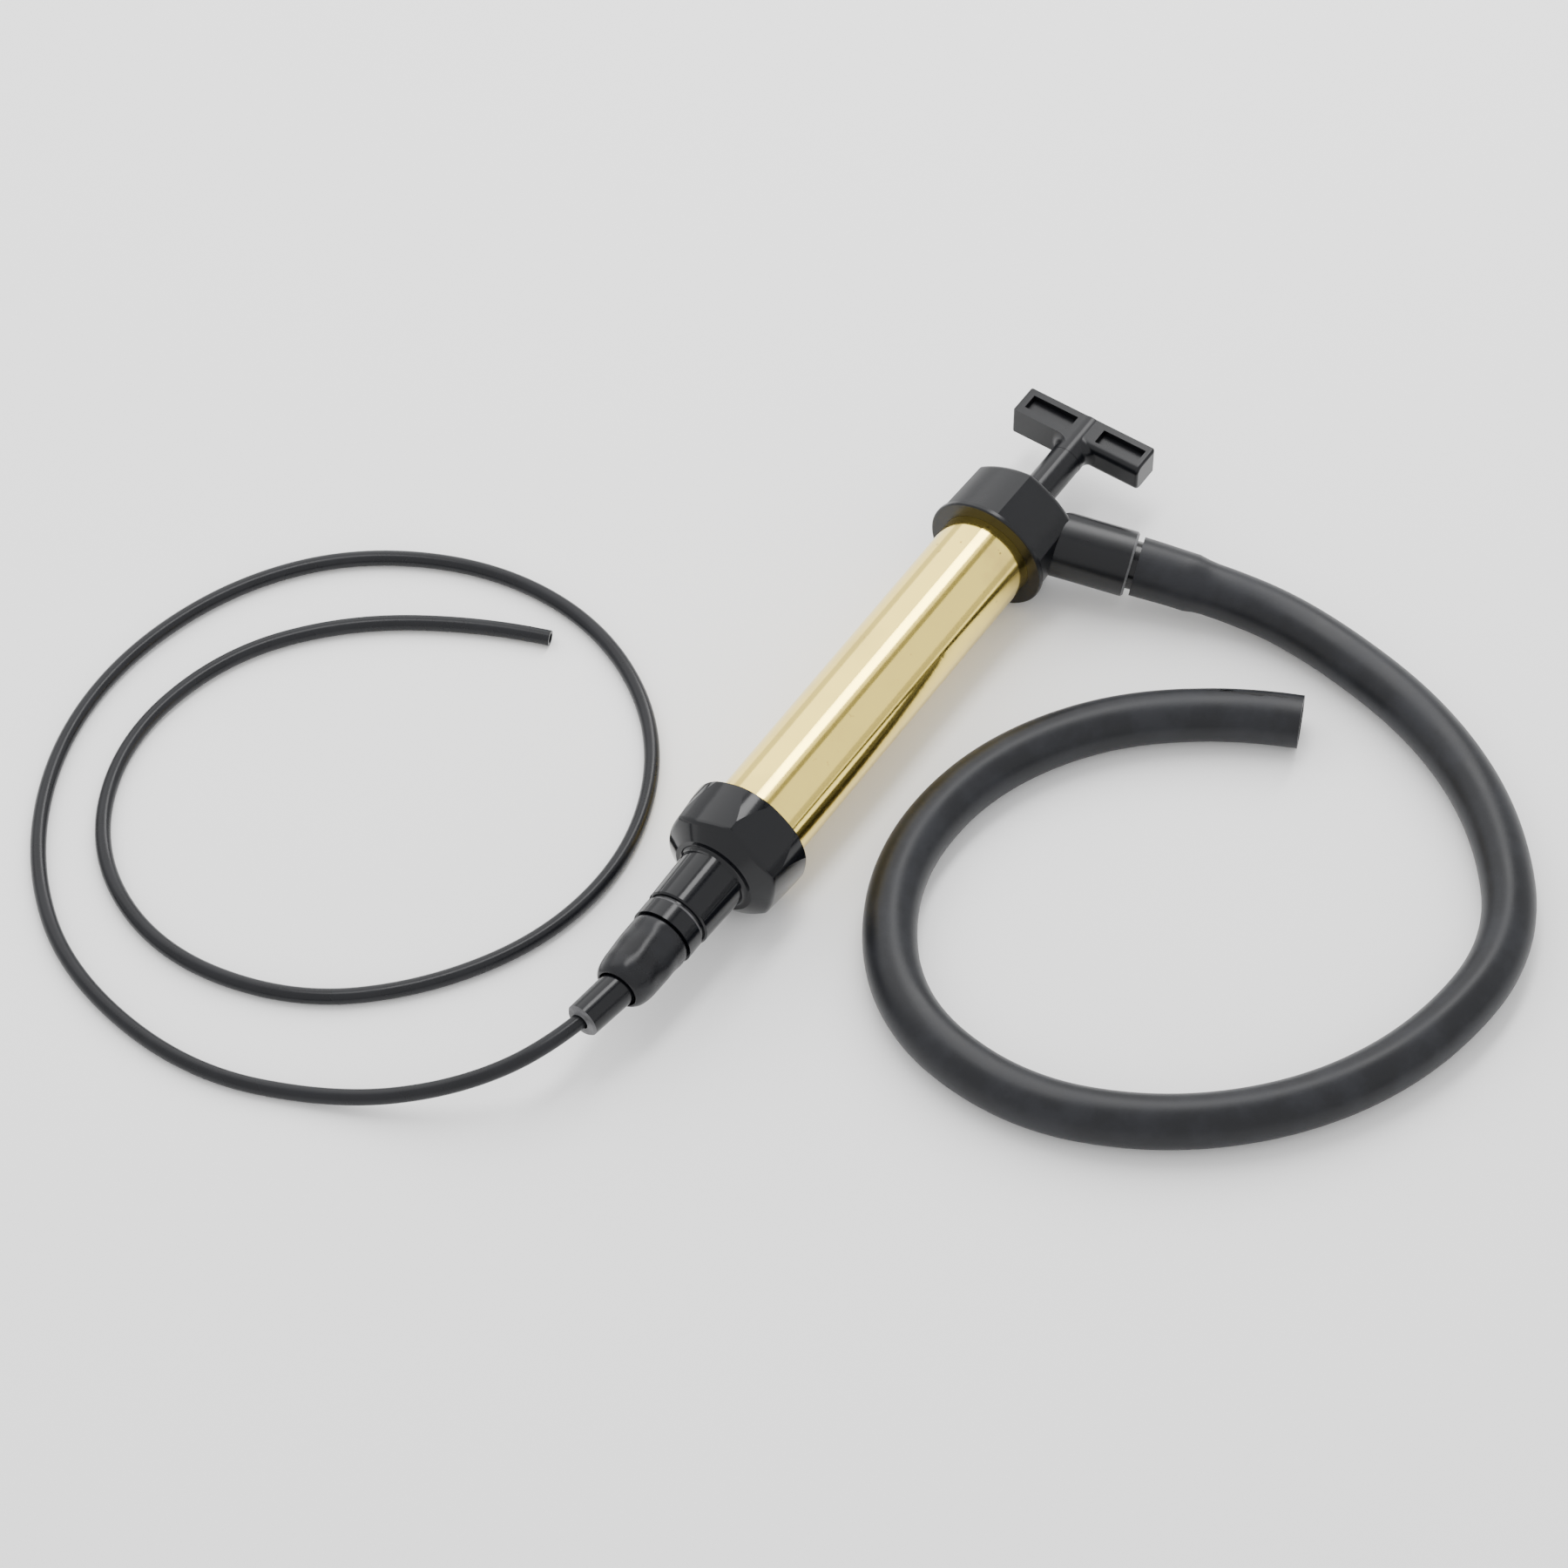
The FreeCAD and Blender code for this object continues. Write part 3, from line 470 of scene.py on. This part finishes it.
# ---------------------------------------------------------------- operators
class PUMP_OT_stage(bpy.types.Operator):
    """Sets the floor, the soft lights and the camera"""

    bl_idname = "pump.stage"
    bl_label = "Stage"

    def execute(self, context):
        deselect()
        bpy.ops.mesh.primitive_plane_add(size=12.0, location=(0.0, 0.0, 0.0))
        floor = bpy.context.object
        floor.name = "studio_floor"
        tree = Tree("studio floor")
        floor.data.materials.append(tree.set(base_color=rgba(colours().floor), roughness=0.9))
        world = bpy.data.worlds.new("studio")
        world.use_nodes = True
        sky = world.node_tree.nodes["Background"].inputs
        sky["Color"].default_value = (1.0, 1.0, 1.0, 1.0)
        sky["Strength"].default_value = SKY_STRENGTH
        context.scene.world = world
        for name, place, long, wide, power in LIGHTS:
            light = bpy.data.lights.new(name, "AREA")
            light.energy = power
            light.shape = "RECTANGLE"
            light.size = long
            light.size_y = wide
            lamp = bpy.data.objects.new(name, light)
            context.collection.objects.link(lamp)
            lamp.matrix_world = facing(Vector(place), LOOKS_AT)
        for name, place, long, wide, shade in CARDS:
            deselect()
            bpy.ops.mesh.primitive_plane_add(size=1.0)
            card = bpy.context.object
            card.name = name
            card.matrix_world = facing(Vector(place), LOOKS_AT) @ Matrix.Diagonal((long, wide, 1.0, 1.0))
            card.data.materials.append(Tree(name).set(base_color=(shade, shade, shade, 1.0), roughness=1.0))
            card.visible_camera = False
            card.visible_shadow = False
        view = bpy.data.cameras.new("camera")
        view.lens = CAMERA_LENS
        view.sensor_width = 36.0
        view.clip_start = 0.05
        camera = bpy.data.objects.new("camera", view)
        context.collection.objects.link(camera)
        right = CAMERA_RIGHT.normalized()
        forward = CAMERA_FORWARD.normalized()
        up = right.cross(forward)
        turn = Matrix((right, up, -forward)).transposed().to_4x4()
        camera.matrix_world = Matrix.Translation(CAMERA_PLACE) @ turn
        context.scene.camera = camera
        return {"FINISHED"}


class PUMP_OT_hose(bpy.types.Operator):
    """Lays the thick discharge hose, stretched over the outlet's barb at its root"""

    bl_idname = "pump.hose"
    bl_label = "Discharge hose"

    def execute(self, context):
        radius, flare = sizes().hose_radius, sizes().hose_flare / sizes().hose_radius
        hose, path = tube_from_curve("hose", HOSE_WAY, radius, sizes().hose_wall)

        def stretched(distance):
            """The barb's end shows as a step, past which the hose draws in slowly."""
            on_barb = 1.0 - 0.2 * smooth_step(distance, *ON_BARB)
            step = STEP_SHARE * (1.0 - smooth_step(distance, *BARB_STEP))
            past = (on_barb - STEP_SHARE) * (1.0 - smooth_step(distance, *PAST_BARB))
            return 1.0 + flare * (past + step)

        reshape_tube(hose, path, stretched)
        dress(hose, hose_material(), "hose_rubber", "pump", "discharge_hose")
        return {"FINISHED"}


class PUMP_OT_tube(bpy.types.Operator):
    """Lays the thin suction tube in its loops"""

    bl_idname = "pump.tube"
    bl_label = "Suction tube"

    def execute(self, context):
        radius = sizes().tube_radius
        tube, path = tube_from_curve("tube", TUBE_WAY, radius, sizes().tube_wall)
        dress(tube, rubber_material("tube rubber", colours().tube, 0.28, 0.3), "tube_rubber", "pump",
              "suction_tube")
        return {"FINISHED"}


class PUMP_OT_barrel(bpy.types.Operator):
    """Finishes the brass barrel and the small brass pieces inside"""

    bl_idname = "pump.barrel"
    bl_label = "Barrel"

    def execute(self, context):
        paint(brass_material(), "barrel", "cup_follower", "rod_nut")
        return {"FINISHED"}


class PUMP_OT_caps(bpy.types.Operator):
    """Finishes the two end caps, the rod, the handle and the plastic pieces inside"""

    bl_idname = "pump.caps"
    bl_label = "End caps"

    def execute(self, context):
        paint(plastic_material("satin plastic", 0.24), "head_cap", "t_handle", "plunger_rod", "piston_body",
              "foot_valve_plate", "rod_bush")
        paint(plastic_material("gloss plastic", 0.09), "foot_cap")
        return {"FINISHED"}


class PUMP_OT_fittings(bpy.types.Operator):
    """Finishes the suction and discharge fittings"""

    bl_idname = "pump.fittings"
    bl_label = "Fittings"

    def execute(self, context):
        paint(plastic_material("fitting plastic", 0.13), "inlet_adapter", "outlet_adapter", "reducer_nozzle")
        # the bevelled rims are painted light grey as a painted highlight
        grey = painted_bevel_highlight_material()
        outlet = RIM + Vector((OUTLET_X, 0.0, 0.0))
        nozzle = RIM + Vector((NOZZLE_X, 0.0, 0.0))
        nozzle_way = Vector((-math.cos(NOZZLE_YAW), math.sin(NOZZLE_YAW), 0.0))
        paint_faces(grey, "inlet_adapter", lambda c: COLLAR_BEVEL[0] < c.x - RIM.x < COLLAR_BEVEL[1])
        paint_faces(grey, "head_cap", lambda c: (c - outlet).dot(OUTLET_WAY) > OUTLET_BEVEL)
        paint_faces(grey, "reducer_nozzle", lambda c: (c - nozzle).dot(nozzle_way) > NOZZLE_BEVEL)
        return {"FINISHED"}


class PUMP_OT_sleeve(bpy.types.Operator):
    """Models the soft rubber sleeve that joins the nozzle to the adapter"""

    bl_idname = "pump.sleeve"
    bl_label = "Coupling sleeve"

    def execute(self, context):
        sleeve = spun("sleeve", SLEEVE_OUTLINE, 72)
        for vertex in sleeve.data.vertices:
            x, y, z = vertex.co - RIM
            around = math.atan2(z, y)
            reach = math.hypot(y, z)
            if reach > SLEEVE_SKIN:
                wave = math.sin(3.0 * around + 620.0 * x) + 0.8 * math.sin(5.0 * around - 1100.0 * x)
                fade = smooth_step(x, *SLEEVE_FADES[0]) * (1.0 - smooth_step(x, *SLEEVE_FADES[1]))
                bulge = 1.0 + SLEEVE_WAVE * wave * fade
                vertex.co = RIM + Vector((x, y * bulge, z * bulge))
        soft = sleeve.modifiers.new("soft", "SUBSURF")
        soft.levels = 2
        soft.render_levels = 2
        only(sleeve)
        bpy.ops.object.modifier_apply(modifier=soft.name)
        bpy.ops.object.shade_smooth_by_angle(angle=math.radians(60.0))
        dress(sleeve, rubber_material("sleeve rubber", colours().sleeve, 0.27, 0.8), "soft_rubber", "pump",
              "coupling_sleeve")
        return {"FINISHED"}


class PUMP_OT_inside(bpy.types.Operator):
    """Finishes the seals, valves and small metal pieces inside"""

    bl_idname = "pump.inside"
    bl_label = "Inner pieces"

    def execute(self, context):
        paint(rubber_material("seal rubber", colours().seals, 0.5, 0.2), "foot_gasket", "head_gasket",
              "rod_seal", "foot_valve_disc", "piston_ring", "cup_seal", "piston_valve", "inlet_oring",
              "outlet_oring", "tube_grip")
        paint(steel_material(), "foot_valve_clip", "seal_retainer", "nut_washer", "handle_screw")
        return {"FINISHED"}


class PUMP_PT_panel(bpy.types.Panel):
    """The pump's pieces and their settings"""

    bl_idname = "PUMP_PT_panel"
    bl_label = "Hand Bilge Pump"
    bl_space_type = "VIEW_3D"
    bl_region_type = "UI"
    bl_category = "Pump"

    def draw(self, context):
        for group in (context.scene.pump_colours, context.scene.pump_sizes):
            box = self.layout.box()
            for word in group.bl_rna.properties.keys():
                if word not in ("name", "rna_type"):
                    box.prop(group, word)
        for operator in OPERATORS:
            self.layout.operator(operator.bl_idname)


OPERATORS = (PUMP_OT_stage, PUMP_OT_hose, PUMP_OT_tube, PUMP_OT_barrel, PUMP_OT_caps, PUMP_OT_fittings,
             PUMP_OT_sleeve, PUMP_OT_inside)
CLASSES = (PumpColours, PumpSizes) + OPERATORS + (PUMP_PT_panel,)


def register():
    for item in CLASSES:
        bpy.utils.register_class(item)
    bpy.types.Scene.pump_colours = bpy.props.PointerProperty(type=PumpColours)
    bpy.types.Scene.pump_sizes = bpy.props.PointerProperty(type=PumpSizes)


def unregister():
    del bpy.types.Scene.pump_sizes
    del bpy.types.Scene.pump_colours
    for item in reversed(CLASSES):
        bpy.utils.unregister_class(item)


def main():
    register()
    bpy.ops.pump.stage()
    bpy.ops.pump.hose()
    bpy.ops.pump.tube()
    bpy.ops.pump.barrel()
    bpy.ops.pump.caps()
    bpy.ops.pump.fittings()
    bpy.ops.pump.sleeve()
    bpy.ops.pump.inside()


if __name__ == "__main__":
    main()
